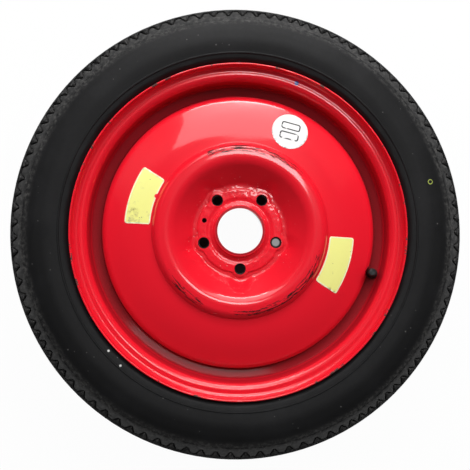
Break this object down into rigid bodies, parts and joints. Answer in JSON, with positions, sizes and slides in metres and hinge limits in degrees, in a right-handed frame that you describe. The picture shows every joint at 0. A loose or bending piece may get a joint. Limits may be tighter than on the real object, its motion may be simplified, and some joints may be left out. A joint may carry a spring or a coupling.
{
  "type": "spare wheel",
  "caption": "Narrow temporary-use spare wheel: tyre on a red welded steel rim and disc, with a snap-in valve, its core and cap, and three labels.",
  "frame": {"origin": "centre of the wheel: on its axis, midway between the two bead faces", "axes": "+Z along the wheel's axis out of its outboard face, +Y up and +X right in the picture, which looks down on that face"},
  "size_m": [0.648, 0.648, 0.137],
  "materials": {
    "tyre_rubber": "matte, dusty black rubber",
    "wheel_paint": "glossy red paint with dust and scuffs",
    "weld_paint": "red paint over rippled weld metal",
    "valve_rubber": "matte black rubber",
    "brass": "turned brass",
    "gasket_plastic": "white sealing plastic",
    "spring_steel": "drawn spring wire",
    "cap_plastic": "black moulded plastic",
    "yellow_label": "satin yellow label film, slightly soiled",
    "white_label": "white paper label with two plain outlines"
  },
  "bodies": {
    "root": {"tyre": "tyre_rubber", "rim": "wheel_paint", "disc": "wheel_paint", "weld_beads": "weld_paint", "valve_body": "valve_rubber", "valve_stem": "brass", "core_barrel": "brass", "core_gasket": "gasket_plastic", "core_spring": "spring_steel", "label_left": "yellow_label", "label_right": "yellow_label", "round_label": "white_label"},
    "valve_pin": {"core_pin": "brass", "core_cup": "brass", "core_seal": "valve_rubber"},
    "cap": {"valve_cap": "cap_plastic", "cap_seal": "valve_rubber"}
  },
  "joints": [
    {"name": "cap_off", "type": "slide", "parent": "root", "child": "cap", "axis": [-0.3253, 0.1057, 0.9397], "range_m": [0, 0.013]},
    {"name": "pin_press", "type": "slide", "parent": "root", "child": "valve_pin", "axis": [0.3253, -0.1057, -0.9397], "range_m": [0, 0.0015], "stiffness_N_per_m": 500, "springref_m": -0.002, "deforming": ["core_spring"]}
  ]
}
